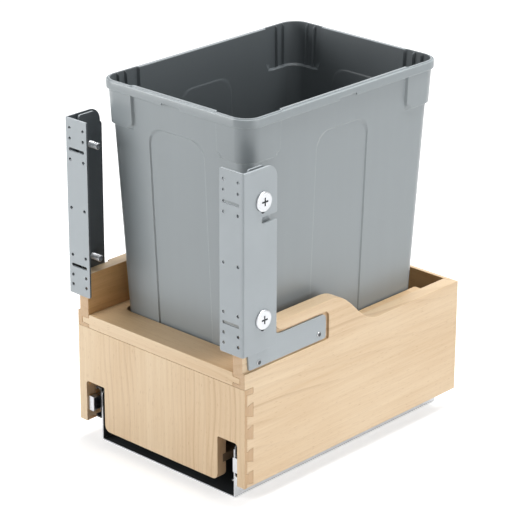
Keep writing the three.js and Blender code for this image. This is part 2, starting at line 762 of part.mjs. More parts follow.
// The pressed arch in one wall, leaning with the wall. It is cut inset deeper on the cavity's side.
function archPanel(prismThrough, footReach, neckReach, sign, inset) {
  const half = panelWidth / 2 + inset;
  const arch = outline([
    [-half, panelFoot - inset, panelCornerRadius + inset],
    [half, panelFoot - inset, panelCornerRadius + inset],
    [half, panelTop + inset, panelCornerRadius + inset],
    [-half, panelTop + inset, panelCornerRadius + inset],
  ]);
  const reach = footReach - panelDepth - inset;
  const slab = sign < 0 ? prismThrough(arch, -reach - 40, -reach) : prismThrough(arch, reach, reach + 40);
  const lean = new THREE.Matrix4();
  lean.elements[prismThrough === prismY ? 9 : 8] = sign * (neckReach - footReach) / binHeight;
  return solid(geometryOf(slab).applyMatrix4(lean));
}

// Arches for the front and right walls, and half a turn round for the other two.
function archPanels(inset) {
  return [
    ...twice(archPanel(prismY, binFootHalfLength, neckHalfLength, -1, inset)),
    ...twice(archPanel(prismX, binFootHalfWidth, neckHalfWidth, 1, inset)),
  ];
}

// The block of one corner pad. inset draws in its free edges, and proud is how far it stands out.
function cornerPad(signX, signY, inset, proud, top) {
  const band = loft([bodyRing(padFoot - 1, -proud), bodyRing(binHeight + 2, -proud)]);
  const seen = (neckReach, reach, sign) => {
    const [from, to] = [sign * (neckReach - reach + inset), sign * (neckReach + 20)].sort((a, b) => a - b);
    const radius = padCornerRadius - inset;
    return outline([
      [from, padFoot + inset, sign > 0 ? radius : 0], [to, padFoot + inset, sign > 0 ? 0 : radius],
      [to, top], [from, top],
    ]);
  };
  const wide = 2 * binRimHalfLength;
  const acrossX = prismY(seen(neckHalfWidth, padReach.ends, signX), -wide, wide);
  const acrossY = prismX(seen(neckHalfLength, padReach.sides, signY), -wide, wide);
  return band.intersect(acrossX).intersect(acrossY);
}

// Ribs that stay inside a corner pad when its hollow is cut.
function padRibs(signX, signY) {
  const far = 2 * binRimHalfLength;
  const half = ribThickness / 2;
  const level = [padFoot, binHeight - 2 * rimStep];
  const span = (sign, neckReach) =>
    [sign * (neckReach - binWall - 1), sign * far].sort((a, b) => a - b);
  return ribSpots.flatMap((spot) => {
    const x = signX * (neckHalfWidth - spot);
    const y = signY * (neckHalfLength - spot);
    return [
      boxSolid(x - half, x + half, ...span(signY, neckHalfLength), ...level),
      boxSolid(...span(signX, neckHalfWidth), y - half, y + half, ...level),
    ];
  });
}

const rightCorners = [[1, -1], [1, 1]];

function binOutside() {
  const body = loft([
    bodyRing(0, binFootEdge),
    bodyRing(binFootEdge * 0.4, binFootEdge * 0.25),
    bodyRing(binFootEdge, 0),
    bodyRing(underRim + 1, 0),
  ]);
  const rim = loft([
    rimRing(0, binHeight - skirtHeight),
    rimRing(0, binHeight - rimStep - rimEase),
    rimRing(rimEase, binHeight - rimStep),
    rimRing(beadInset, binHeight - rimStep),
    rimRing(beadInset + 0.4, binHeight),
  ]);
  const underSkirt = loft([
    rimRing(skirtThickness, binHeight - skirtHeight - 1),
    rimRing(skirtThickness, underRim),
  ]);
  const half = skirtNotchWidth / 2;
  const low = binHeight - skirtHeight;
  const notches = [
    ...twice(boxSolid(
      -half, half, -binRimHalfLength - 1, -binRimHalfLength + skirtThickness + 1,
      low - 1, low + skirtNotchHeight,
    )),
    ...twice(boxSolid(
      binRimHalfWidth - skirtThickness - 1, binRimHalfWidth + 1, -half, half,
      low - 1, low + skirtNotchHeight,
    )),
  ];
  const pads = rightCorners.flatMap(([signX, signY]) =>
    twice(cornerPad(signX, signY, 0, padProud, underRim)));
  return union([cut(body, archPanels(0)), cut(rim, [underSkirt, ...notches]), ...pads]);
}

function binHollow() {
  const body = loft([
    bodyRing(binWall, binWall + binFootEdge),
    bodyRing(binWall + binFootEdge, binWall),
    bodyRing(binHeight + 1, binWall),
  ]);
  const pads = rightCorners.flatMap(([signX, signY]) => {
    const pad = cornerPad(signX, signY, binWall, padProud - binWall, binHeight + 1);
    return twice(cut(pad, padRibs(signX, signY)));
  });
  return union([cut(body, archPanels(binWall)), ...pads]);
}

// ---------------------------------------------------------------- assembly
function handed(name, makers, material) {
  return Object.entries(makers).flatMap(([which, body]) => pair(`${name}_${which}`, body, material));
}

const pan = new THREE.Group();
pan.add(
  part('mounting_pan', mountingPan(), darkSteel),
  ...pair('slide_outer_channel', cabinetSlide(), darkSteel),
  ...pair('slide_middle_channel', middleSlide(), brightZinc),
  ...pair('slide_runner', runnerSlide(), brightZinc),
  ...handed('ball_cage', { outer: outerCage(), inner: innerCage() }, brightZinc),
  ...handed('pan_rivet', {
    front: panRivet(rivetSpots.front),
    middle: panRivet(rivetSpots.middle),
    rear: panRivet(rivetSpots.rear),
  }, brightZinc),
  ...pair('stop_buffer', stopBuffer(), blackPlastic),
);

const bin = part('waste_bin', binOutside().subtract(binHollow()), greyPlastic);
bin.position.set(0, binMiddle, baseTop + seatGap);

const tray = new THREE.Group();
tray.position.z = trayLift;
tray.add(
  ...pair('side_panel', sidePanel(), mapleWood),
  part('front_panel', frontPanel(), mapleWood),
  part('rear_panel', rearPanel(), mapleWood),
  part('deck_panel', deckPanel(), mapleWood),
  part('base_panel', basePanel(), mapleWood),
  ...pair('arm_plate', armPlate(), greyPaint),
  ...handed('arm_screw', {
    front: armScrew(armScrewSpots.front),
    rear: armScrew(armScrewSpots.rear),
  }, brightZinc),
  ...pair('door_bracket', doorBracket(), greyPaint),
  ...handed('threaded_sleeve', {
    lower: sleeve(clampHeights.lower),
    upper: sleeve(clampHeights.upper),
  }, brightZinc),
  ...handed('clamp_screw', {
    lower: clampScrew(clampHeights.lower),
    upper: clampScrew(clampHeights.upper),
  }, brightZinc),
  bin,
);

// The origin is the middle of the footprint, on the cupboard floor.
const cabinet = new THREE.Group();
cabinet.position.y = -(flangeFront + trayDepth) / 2;
cabinet.add(pan, tray);

const group = new THREE.Group();
group.add(cabinet);
export default group;
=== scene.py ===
# %% [markdown]
# # A pull-out waste cabinet
#
# The object is a dovetailed maple tray that rolls out of a kitchen cupboard. It carries one tall
# moulded bin, and two drilled steel brackets on its sides hold the cupboard's door.
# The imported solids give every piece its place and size. This notebook gives them eased edges,
# finer moulded forms and their finishes, and then sets up the studio.

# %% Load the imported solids
import math

import bmesh
import bpy
from mathutils import Matrix, Vector
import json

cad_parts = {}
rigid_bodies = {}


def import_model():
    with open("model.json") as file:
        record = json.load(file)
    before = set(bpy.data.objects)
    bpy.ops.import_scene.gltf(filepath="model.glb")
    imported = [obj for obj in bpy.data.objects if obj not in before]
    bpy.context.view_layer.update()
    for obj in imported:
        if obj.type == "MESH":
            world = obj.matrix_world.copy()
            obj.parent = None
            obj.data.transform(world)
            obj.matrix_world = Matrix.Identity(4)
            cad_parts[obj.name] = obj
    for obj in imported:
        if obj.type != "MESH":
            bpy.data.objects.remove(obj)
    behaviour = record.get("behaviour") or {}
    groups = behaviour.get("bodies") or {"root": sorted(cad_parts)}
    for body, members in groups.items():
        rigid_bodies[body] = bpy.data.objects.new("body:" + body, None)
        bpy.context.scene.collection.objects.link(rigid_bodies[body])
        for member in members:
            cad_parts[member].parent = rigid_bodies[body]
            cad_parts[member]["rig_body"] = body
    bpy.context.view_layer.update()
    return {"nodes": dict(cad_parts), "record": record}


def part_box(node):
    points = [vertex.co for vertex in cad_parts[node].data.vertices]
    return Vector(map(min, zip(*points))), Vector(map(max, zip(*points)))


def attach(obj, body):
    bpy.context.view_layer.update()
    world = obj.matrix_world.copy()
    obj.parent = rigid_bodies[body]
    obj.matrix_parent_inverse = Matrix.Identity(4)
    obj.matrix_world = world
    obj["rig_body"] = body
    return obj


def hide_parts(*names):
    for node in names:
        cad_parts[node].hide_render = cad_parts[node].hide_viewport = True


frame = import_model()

mm = 0.001
slots = {part["node"]: part["material_slot"] for part in frame["record"]["subparts"]}

# %% [markdown]
# ## Small helpers for shader nodes
#
# A procedural finish is a graph of many small nodes. Written out in full, each node takes several
# lines, so one helper adds a node, sets its properties and fills or links its inputs. The finishes
# below then read like recipes.

# %% Add a node
def connect(tree, value, socket):
    """Link a value that another node puts out, or type a plain one into the socket."""
    if isinstance(value, bpy.types.NodeSocket):
        tree.links.new(value, socket)
    else:
        socket.default_value = value


def add_node(tree, kind, inputs=None, **settings):
    """Add a node, set its properties, and link or fill its inputs."""
    made = tree.nodes.new(kind)
    for name, value in settings.items():
        setattr(made, name, value)
    for name, value in (inputs or {}).items():
        connect(tree, value, made.inputs[name])
    return made


print("node helper ready")

# %% [markdown]
# Most of a recipe is arithmetic on noise. Each noise is set by how many features it has per metre
# along each axis, so that fibres can be long one way and fine the other.

# %% Arithmetic, colours and noise
first_colour, second_colour, mixed_colour = 6, 7, 2  # a Mix node's sockets for colours


def maths(tree, operation, *values):
    """One arithmetic node, and its result."""
    return add_node(tree, "ShaderNodeMath", dict(enumerate(values)), operation=operation).outputs[0]


def times(tree, first, second):
    """The product of two values."""
    return maths(tree, "MULTIPLY", first, second)


def plus(tree, first, second):
    """The sum of two values."""
    return maths(tree, "ADD", first, second)


def blend_colours(tree, share, first, second):
    """Mix two colours by a share from 0 to 1."""
    inputs = {"Factor": share, first_colour: first, second_colour: second}
    return add_node(tree, "ShaderNodeMix", inputs, data_type="RGBA").outputs[mixed_colour]


def remap(tree, value, low, high, to_low=0.0, to_high=1.0):
    """Stretch a range of values smoothly to another, held at its ends."""
    inputs = {"Value": value, "From Min": low, "From Max": high, "To Min": to_low, "To Max": to_high}
    return add_node(tree, "ShaderNodeMapRange", inputs, interpolation_type="SMOOTHSTEP").outputs[0]


def noise_at(tree, position, per_metre, detail=3.0, rough=0.55):
    """Noise with about this many features per metre along each axis."""
    placed = add_node(tree, "ShaderNodeMapping", {"Vector": position, "Scale": per_metre})
    inputs = {"Vector": placed.outputs[0], "Scale": 1.0, "Detail": detail, "Roughness": rough}
    return add_node(tree, "ShaderNodeTexNoise", inputs).outputs["Fac"]


def swing(tree, noise, reach):
    """Noise as a shift of up to half this reach to either side."""
    return maths(tree, "MULTIPLY_ADD", noise, reach, -reach / 2)


def bump(tree, height, distance):
    """A normal from a height map; distance is the height of its full range in metres."""
    return add_node(tree, "ShaderNodeBump", {"Height": height, "Distance": distance}).outputs["Normal"]


def linear(red, green, blue):
    """A shader colour from a colour seen on screen, whose values run from 11 to 255."""
    return tuple(((value / 255 + 0.055) / 1.055) ** 2.4 for value in (red, green, blue)) + (1.0,)


def tinted(colour, tint):
    """A colour times a tint: one factor, or one each for red, green and blue."""
    factors = tint if isinstance(tint, tuple) else (tint, tint, tint)
    return tuple(min(1.0, value * factor) for value, factor in zip(colour, factors)) + (1.0,)


print("a mid grey on screen is", round(linear(128, 128, 128)[0], 3), "to a shader")

# %% [markdown]
# An effect that several materials share goes into a node group with named inputs and outputs, so
# that it is built once. The shader stays in each material, with its fixed numbers in its sockets.

# %% Groups and materials
colour_socket, point_socket, value_socket = "NodeSocketColor", "NodeSocketVector", "NodeSocketFloat"


def socket_for(value):
    """The kind of socket that holds a colour, a point or a plain value."""
    if isinstance(value, tuple):
        return colour_socket if len(value) == 4 else point_socket
    return value_socket


def new_group(name, inputs, outputs):
    """A node group, from {input: default value} and {output: kind of socket}."""
    tree = bpy.data.node_groups.new(name, "ShaderNodeTree")
    for label, value in inputs.items():
        socket = tree.interface.new_socket(label, in_out="INPUT", socket_type=socket_for(value))
        socket.default_value = value
    for label, kind in outputs.items():
        tree.interface.new_socket(label, in_out="OUTPUT", socket_type=kind)
    return tree, add_node(tree, "NodeGroupInput").outputs, add_node(tree, "NodeGroupOutput").inputs


def fill(tree, node, **values):
    """Link or fill a node's inputs by name. Underscores stand for spaces."""
    for name, value in values.items():
        connect(tree, value, node.inputs[name.replace("_", " ")])


def use_group(tree, group, **values):
    """Place a group in a material, and give its outputs."""
    made = add_node(tree, "ShaderNodeGroup", node_tree=group)
    fill(tree, made, **values)
    return made.outputs


def new_material(name):
    """An empty material with its shader wired to the output."""
    made = bpy.data.materials.new(name)
    made.use_nodes = True
    tree = made.node_tree
    tree.nodes.clear()
    shader = add_node(tree, "ShaderNodeBsdfPrincipled")
    add_node(tree, "ShaderNodeOutputMaterial", {"Surface": shader.outputs["BSDF"]})
    return made, tree, shader


print("group and material helpers ready")

# %% [markdown]
# ## Maple, as one solid block of wood
#
# The boards are flat-sawn maple under a thin clear coat. Painted-on stripes would run the same way
# on every face, so this grain is a solid texture: growth rings round a far-off heart, cut through
# by the board. A face along the grain then shows arches and long lines, and a sawn end shows the
# rings themselves. Each ring darkens slowly through its year and ends sharply.

# %% The growth rings
grain_group, given, wanted = new_group(
    "solid wood grain",
    {"Position": (0, 0, 0), "Pale": (1, 1, 1, 1), "Warm": (1, 1, 1, 1), "Brown": (1, 1, 1, 1),
     "Ring Spacing": 9 * mm, "Heart Depth": 0.12, "Heart Side": 0.0, "Lean": 0.1, "End": 0.0},
    {"Color": colour_socket, "Roughness": value_socket, "Height": value_socket})
tree, wood_at = grain_group, given["Position"]

drift = swing(tree, noise_at(tree, wood_at, (2.6, 7, 7), 2), 50 * mm)
ripple = swing(tree, noise_at(tree, wood_at, (9, 60, 60), 2), 3 * mm)
along, across, through = add_node(tree, "ShaderNodeSeparateXYZ", {0: wood_at}).outputs
side = plus(tree, maths(tree, "SUBTRACT", across, given["Heart Side"]), drift)
deep = plus(tree, plus(tree, through, given["Heart Depth"]), times(tree, along, given["Lean"]))
radius = maths(tree, "SQRT", plus(tree, times(tree, side, side), times(tree, deep, deep)))
turns = maths(tree, "DIVIDE", plus(tree, radius, ripple), given["Ring Spacing"])
season = maths(tree, "FRACT", turns)
late_wood = times(tree, remap(tree, season, 0.45, 0.93), remap(tree, season, 1.0, 0.955))
ring_number = maths(tree, "FLOOR", turns)
chance = add_node(tree, "ShaderNodeTexWhiteNoise", {"W": ring_number}, noise_dimensions="1D")
strength = remap(tree, chance.outputs["Value"], 0, 1, 0.2)
figured = remap(tree, noise_at(tree, wood_at, (1.3, 11, 11), 1), 0.42, 0.6, 0.06)
rings = times(tree, figured, times(tree, late_wood, strength))
print("rings from", len(tree.nodes), "nodes")

# %% [markdown]
# Between the rings the wood shifts from pale to warm in broad clouds and thin streaks. Rings, fine
# fibres, short flecks and sawn ends each brown it by their own share.

# %% Colour, roughness and relief of the wood
cloud = noise_at(tree, wood_at, (4, 11, 11), 2)
streaks = noise_at(tree, wood_at, (4, 150, 150), 3, 0.6)
fibres = noise_at(tree, wood_at, (14, 1100, 1100), 2, 0.6)
flecks = noise_at(tree, wood_at, (110, 900, 900), 0)
cloud_share, streak_share = 0.5, 0.38
browning = ((rings, 0.3), (remap(tree, fibres, 0.42, 0.8), 0.14), (remap(tree, flecks, 0.7, 0.8), 0.25),
            (given["End"], 0.4))
rougher_end, fibre_relief, ring_relief = 0.16, 0.6, 0.4

warmth = plus(tree, times(tree, remap(tree, cloud, 0.3, 0.7), cloud_share),
              times(tree, remap(tree, streaks, 0.3, 0.75), streak_share))
wood_colour = blend_colours(tree, warmth, given["Pale"], given["Warm"])
for mark, share in browning:
    wood_colour = blend_colours(tree, times(tree, mark, share), wood_colour, given["Brown"])
wood_roughness = plus(tree, remap(tree, fibres, 0.2, 0.8, 0.36, 0.5),
                      times(tree, given["End"], rougher_end))
wood_height = plus(tree, times(tree, fibres, fibre_relief), times(tree, rings, ring_relief))
connect(tree, wood_colour, wanted["Color"])
connect(tree, wood_roughness, wanted["Roughness"])
connect(tree, wood_height, wanted["Height"])
print(grain_group.name, len(tree.nodes), "nodes")

# %% [markdown]
# ## Worn edges and painted highlights
#
# A corner of a real part takes more light and more handling than its faces. The edge mask compares
# the surface's own normal with one that has been rounded over a small radius: they differ only
# near an edge. Soft patches break the mask up, because no edge wears evenly.

# %% The edge mask
edge_group, given, wanted = new_group("edge mask", {"Radius": 1 * mm, "Position": (0, 0, 0)},
                                      {"Mask": value_socket})
tree = edge_group
rounded = add_node(tree, "ShaderNodeBevel", {"Radius": given["Radius"]}, samples=4).outputs[0]
facing = add_node(tree, "ShaderNodeNewGeometry").outputs["Normal"]
likeness = add_node(tree, "ShaderNodeVectorMath", {0: rounded, 1: facing}, operation="DOT_PRODUCT")
turned_away = remap(tree, likeness.outputs["Value"], 0.995, 0.86)
patches = remap(tree, noise_at(tree, given["Position"], (90, 90, 90)), 0.3, 0.62, 0.35)
connect(tree, times(tree, turned_away, patches), wanted["Mask"])
print(edge_group.name, len(tree.nodes), "nodes")

# %% [markdown]
# Coat and plastic share a second group. It gives the slight orange peel of a baked coat or the fine
# spark texture of a moulded face, and the slow clouding that keeps a large face from looking flat.
# Its thin scuffs are long noise on coordinates that are bent a little, so that they don't run dead
# straight.

# %% The surface texture
texture_group, given, wanted = new_group(
    "surface texture", {"Position": (0, 0, 0), "Pebble": 1400.0, "Cloud": 14.0},
    {"Cloud": value_socket, "Pebble": value_socket, "Scuff": value_socket})
tree, surface_at = texture_group, given["Position"]
scuff_bend = (20 * mm, 20 * mm, 20 * mm)

for label, detail in (("Pebble", 2.0), ("Cloud", 3.0)):
    inputs = {"Vector": surface_at, "Scale": given[label], "Detail": detail, "Roughness": 0.55}
    connect(tree, add_node(tree, "ShaderNodeTexNoise", inputs).outputs["Fac"], wanted[label])
bend = add_node(tree, "ShaderNodeTexNoise", {"Vector": surface_at, "Scale": 25.0, "Detail": 2.0})
inputs = {0: bend.outputs["Color"], 1: scuff_bend, 2: surface_at}
bent_at = add_node(tree, "ShaderNodeVectorMath", inputs, operation="MULTIPLY_ADD").outputs[0]
scuffs = noise_at(tree, bent_at, (35, 35, 900), 2, 0.5)
connect(tree, remap(tree, scuffs, 0.62, 0.78), wanted["Scuff"])
print(texture_group.name, len(tree.nodes), "nodes")

# %% [markdown]
# ## The finishes
#
# Each board gets its own maple, because the grain of the front stands upright, the sides' grain
# runs from front to rear, and the deck's runs across. The heart of the tree lies behind each board
# at its own depth and lean, so the boards don't repeat each other. The inner faces of the sides and
# the rear get warmer, darker maple as painted shade, the deck's top is tinted darker than its front
# edge as painted shade, and the base under the bin is darkened as painted shade.

# %% The maple recipe
maple_colours = {"Pale": linear(224, 201, 168), "Warm": linear(209, 179, 140),
                 "Brown": linear(157, 111, 70)}
grain_axes = {"x": (0, 1, 2), "y": (1, 2, 0), "z": (2, 0, 1)}
board_rub, board_rub_reach = 0.3, 1.4 * mm
wood_relief = 0.05 * mm


def maple(name, grain, heart_depth, heart_side, lean, spacing=9 * mm, tint=1.0, sawn=None):
    """Maple whose grain runs along one axis. The tree's heart lies at a depth and side in metres,
    and leans from the grain. Faces across the sawn axis show as sawn ends."""
    made, tree, shader = new_material(name)
    at = add_node(tree, "ShaderNodeTexCoord").outputs
    parts = add_node(tree, "ShaderNodeSeparateXYZ", {0: at["Object"]}).outputs
    turned = {place: parts[axis] for place, axis in enumerate(grain_axes[grain])}
    board_at = add_node(tree, "ShaderNodeCombineXYZ", turned).outputs[0]
    facing = add_node(tree, "ShaderNodeSeparateXYZ", {0: at["Normal"]}).outputs
    end = remap(tree, maths(tree, "ABSOLUTE", facing["xyz".index(sawn or grain)]), 0.6, 0.95)
    colours = {label: tinted(colour, tint) for label, colour in maple_colours.items()}
    wood = use_group(tree, grain_group, Position=board_at, Ring_Spacing=spacing, End=end,
                     Heart_Depth=heart_depth, Heart_Side=heart_side, Lean=lean, **colours)
    edges = use_group(tree, edge_group, Radius=board_rub_reach, Position=at["Object"])["Mask"]
    rubbed = blend_colours(tree, times(tree, edges, board_rub), wood["Color"], colours["Pale"])
    fill(tree, shader, Base_Color=rubbed, Roughness=wood["Roughness"],
         Normal=bump(tree, wood["Height"], wood_relief), Coat_Weight=0.18, Coat_Roughness=0.3)
    return made


print("maple in", ", ".join(maple_colours).lower())

# %% Maple for each board
# Tints of painted shade: warm shade inside the tray, a darker deck top, and deep shade on the base under
# the bin.
inside_shade_tint, deck_top_shade_tint, under_bin_shade_tint = (1.0, 0.78, 0.52), (1.0, 0.93, 0.82), (0.25, 0.22, 0.2)
left_board = {"grain": "y", "heart_depth": 0.30, "heart_side": -0.12, "lean": 0.16, "spacing": 13 * mm}
rear_board = {"grain": "x", "heart_depth": 0.02, "heart_side": -0.5, "lean": 0.12}
deck_board = {"grain": "x", "heart_depth": -0.6, "heart_side": -0.24, "lean": 0.12}
board_finishes = {
    "side_panel_left": maple("maple of the left side", **left_board),
    "side_panel_right": maple("maple of the right side", "y", -0.30, -0.10, -0.20, 13 * mm),
    "front_panel": maple("maple of the front", "z", 0.30, -0.35, 0.10, 8.5 * mm, sawn="x"),
    "rear_panel": maple("maple of the rear", **rear_board),
    # The deck's top is tinted darker than its front edge as painted shade.
    "deck_panel": maple("maple of the deck", tint=deck_top_shade_tint, **deck_board),
    # The base under the bin is darkened as painted shade.
    "base_panel": maple("maple of the base", "y", 0.2, -0.1, 0.05, tint=under_bin_shade_tint),
}
# Warmer, darker maple on the inner faces of the sides and the rear is painted shade.
side_inside_painted_shade = maple("maple with painted shade inside the sides", tint=inside_shade_tint, **left_board)
# The deck's front edge keeps plain maple, lighter than the top with its painted shade.
deck_edge_unshaded = maple("maple of the deck's front edge, without painted shade", **deck_board)
rear_inside_painted_shade = maple("maple with painted shade inside the rear", tint=inside_shade_tint, **rear_board)
print(len(board_finishes), "boards of maple")

# %% [markdown]
# The brackets have a smooth light grey coat that is slightly worn at its cut edges. The pan and
# the outer slide channels have a darker coat, and their sheared edges show bright steel; inside
# the pan that dark coat is painted shade. Worn spots are mixed into the one shader, as colour and
# metal, so that the coat has no hard border.

# %% Coated steel
bare_steel = linear(206, 208, 210)


def coated_steel(name, colour, rough, wear, metal=0.0):
    """A baked coat over sheet steel, thin at the edges."""
    made, tree, shader = new_material(name)
    at = add_node(tree, "ShaderNodeTexCoord").outputs["Object"]
    skin = use_group(tree, texture_group, Position=at, Pebble=1500.0, Cloud=11.0)
    edges = use_group(tree, edge_group, Radius=0.7 * mm, Position=at)["Mask"]
    worn = times(tree, edges, wear)
    coat = blend_colours(tree, remap(tree, skin["Cloud"], 0.25, 0.75), colour, tinted(colour, 1.09))
    cloudy = remap(tree, skin["Cloud"], 0.2, 0.8, rough - 0.04, rough + 0.05)
    fill(tree, shader, Base_Color=blend_colours(tree, worn, coat, bare_steel),
         Roughness=plus(tree, cloudy, times(tree, skin["Scuff"], 0.07)),
         Metallic=maths(tree, "MULTIPLY_ADD", worn, 0.6, metal),
         Normal=bump(tree, skin["Pebble"], 0.012 * mm))
    return made


finishes = {
    "grey_paint": coated_steel("light grey coat", linear(158, 165, 169), 0.42, 0.5),
    "dark_steel": coated_steel("dark coat", linear(52, 56, 59), 0.45, 0.9, metal=0.2),
}
# The inner faces of the brackets and arm plates get a darker grey as painted shade.
inner_faces_painted_shade = coated_steel("darker grey as painted shade on the inner faces", linear(80, 86, 90), 0.35, 0.3)
print(", ".join(finishes))

# %% [markdown]
# The moving slides, screws and sleeves are bright zinc. Zinc plate is a true metal whose crystals
# show as faint spangles, and a cell texture gives those better than noise does.

# %% Zinc plate
def zinc(name, colour, rough):
    """Bright zinc plate with faint spangles and rubbing marks."""
    made, tree, shader = new_material(name)
    at = add_node(tree, "ShaderNodeTexCoord").outputs["Object"]
    skin = use_group(tree, texture_group, Position=at, Pebble=900.0, Cloud=60.0)
    cells = add_node(tree, "ShaderNodeTexVoronoi", {"Vector": at, "Scale": 260.0}).outputs["Color"]
    spangles = add_node(tree, "ShaderNodeRGBToBW", {0: cells}).outputs[0]
    cloudy = remap(tree, skin["Cloud"], 0.2, 0.8, 0.1, 0.6)
    tone = maths(tree, "MULTIPLY_ADD", spangles, 0.35, cloudy)
    dulled = remap(tree, tone, 0, 1, rough + 0.08, rough - 0.05)
    fill(tree, shader, Base_Color=blend_colours(tree, tone, tinted(colour, 0.8), colour), Metallic=1.0,
         Roughness=plus(tree, times(tree, skin["Scuff"], 0.15), dulled),
         Normal=bump(tree, skin["Pebble"], 0.004 * mm))
    return made


finishes["bright_zinc"] = zinc("bright zinc", linear(210, 212, 215), 0.3)
print(", ".join(finishes))

# %% [markdown]
# The bin is injection-moulded polypropylene: a satin outside with a fine spark texture, faint
# upright flow marks from the mould, and pale edges that are painted highlight. Its inside is a
# darker grey as painted shade. The same recipe with coarser pebbles and less shine gives the soft
# black rubber of the buffers.

# %% Moulded plastic and rubber
def moulded(name, colour, rough, pebble, relief, highlight_and_rub=0.3, highlight_and_rub_reach=1.2 * mm):
    """A moulded face with a fine texture, flow marks, and pale edges that are painted highlight and
    rubbing.
    """
    made, tree, shader = new_material(name)
    at = add_node(tree, "ShaderNodeTexCoord").outputs["Object"]
    skin = use_group(tree, texture_group, Position=at, Pebble=pebble, Cloud=8.0)
    edges = use_group(tree, edge_group, Radius=highlight_and_rub_reach, Position=at)["Mask"]
    marks = remap(tree, noise_at(tree, at, (60, 60, 3)), 0.3, 0.7)
    tone = maths(tree, "MULTIPLY_ADD", marks, 0.15, times(tree, skin["Cloud"], 0.5))
    clouded = blend_colours(tree, tone, colour, tinted(colour, 1.12))
    # Pale edges: painted highlight, with some rubbing.
    rubbed = blend_colours(tree, times(tree, edges, highlight_and_rub), clouded, tinted(colour, 1.5))
    fill(tree, shader, Base_Color=rubbed,
         Roughness=remap(tree, skin["Cloud"], 0.2, 0.8, rough - 0.03, rough + 0.05),
         Normal=bump(tree, skin["Pebble"], relief))
    return made


# The bin's strong pale edges are painted highlight.
finishes["grey_plastic"] = moulded("grey polypropylene", linear(139, 146, 149), 0.3, 1300.0, 0.012 * mm,
                                   highlight_and_rub=0.8, highlight_and_rub_reach=2.6 * mm)
finishes["black_plastic"] = moulded("black rubber", linear(30, 31, 33), 0.62, 700.0, 0.04 * mm, highlight_and_rub=0.1)
# The bin's inside is a darker grey as painted shade.
bin_inside_painted_shade = moulded("grey polypropylene, inside with painted shade", linear(92, 98, 101), 0.38, 1300.0, 0.02 * mm)
print(", ".join(sorted(finishes)))

# %% [markdown]
# ## Eased edges
#
# No real edge is a perfect line. Boards are sanded, sheared steel is tumbled, and turned screws
# have small rounds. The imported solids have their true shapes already, so each visible piece is a
# copy of its solid: flat faces are joined again, every sharp edge gets a narrow bevel, and the
# normals are weighted by area, so that large faces stay flat and round faces look round. A drilled
# plate is split into triangles first, because a bevel can fold a face that has many corners.

# %% Put a piece in its solid's place
def add_object(name, data):
    """A new object in the scene."""
    made = bpy.data.objects.new(name, data)
    bpy.context.scene.collection.objects.link(made)
    return made


def stand_for(made, node):
    """Ride on a node's body, stand for that node, and take its finish."""
    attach(made, frame["nodes"][node]["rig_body"])
    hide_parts(node)
    made.data.materials.clear()
    made.data.materials.append(board_finishes.get(node) or finishes[slots[node]])


print(len(board_finishes), "boards and", len(finishes), "other finishes to give out")

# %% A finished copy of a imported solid
split_first = ("door_bracket", "slide_runner")
same_point, same_plane = 0.001 * mm, math.radians(0.4)
sharp_edge, bevel_steps = math.radians(28), 2


def cleaned_mesh(name):
    """A solid's mesh with its flat faces joined again, or split where a bevel would fold them."""
    shape = bmesh.new()
    shape.from_mesh(frame["nodes"][name].data)
    bmesh.ops.remove_doubles(shape, verts=shape.verts, dist=same_point)
    bmesh.ops.dissolve_limit(shape, angle_limit=same_plane, verts=shape.verts, edges=shape.edges)
    if name.startswith(split_first):
        bmesh.ops.triangulate(shape, faces=shape.faces)
    mesh = bpy.data.meshes.new(name + "_finished")
    shape.to_mesh(mesh)
    shape.free()
    mesh.shade_smooth()
    return mesh


def finished_copy(name, width):
    """A copy of a solid with bevelled edges, which then stands for that solid."""
    made = add_object(name + "_finished", cleaned_mesh(name))
    bevel = made.modifiers.new("eased edges", "BEVEL")
    bevel.width = width
    bevel.segments = bevel_steps
    bevel.limit_method = "ANGLE"
    bevel.angle_limit = sharp_edge
    bevel.miter_outer = "MITER_ARC"
    made.modifiers.new("flat faces stay flat", "WEIGHTED_NORMAL").mode = "FACE_AREA"
    stand_for(made, name)
    bpy.context.view_layer.update()
    shaped = made.evaluated_get(bpy.context.evaluated_depsgraph_get())
    mesh = bpy.data.meshes.new_from_object(shaped)
    made.modifiers.clear()
    made.data = mesh
    return made


edge_widths = {"maple_wood": 0.9 * mm, "grey_paint": 0.45 * mm, "dark_steel": 0.35 * mm,
               "bright_zinc": 0.2 * mm, "black_plastic": 0.8 * mm}
own_mesh = ("waste_bin", "ball_cage", "threaded_sleeve")
copied = {name: finished_copy(name, edge_widths[slots[name]])
          for name in frame["nodes"] if not name.startswith(own_mesh)}
print(len(copied), "pieces,", sum(len(piece.data.polygons) for piece in copied.values()), "faces")

# %% [markdown]
# Some pieces have a second finish on some of their faces. The pan's outer faces and its sheared
# front edges are bright zinc, and the dark coat left inside it is painted shade. The recesses of
# the screws get the dark coat as painted shade. The inner faces of the brackets and arm plates get
# a darker grey as painted shade, those of the sides and the rear get warmer, darker maple as
# painted shade, and the deck's front edge keeps plain maple, lighter than its shaded top. Where a
# face is and which way it looks is enough to pick it out, and it stays so if a bevel adds faces.

# %% Tests that pick faces
pan_low, pan_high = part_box("mounting_pan")
pan_skin = 0.4 * mm
cross_reach, cross_sink, head_height = 7 * mm, 0.6 * mm, 2 * mm
disc_depth = 0.3 * mm
squarely = 0.7


def outside_pan(face):
    """True on the pan's outer faces and its front edges."""
    beside = min(pan_high.x - face.center.x, face.center.x - pan_low.x) < pan_skin
    return beside or face.center.y < pan_low.y + pan_skin


def looks_inwards(face):
    """True on faces that look towards the middle of the tray."""
    return face.normal.x * math.copysign(1, face.center.x) < -squarely


def looks_forwards(face):
    """True on faces that look to the front."""
    return face.normal.y < -squarely


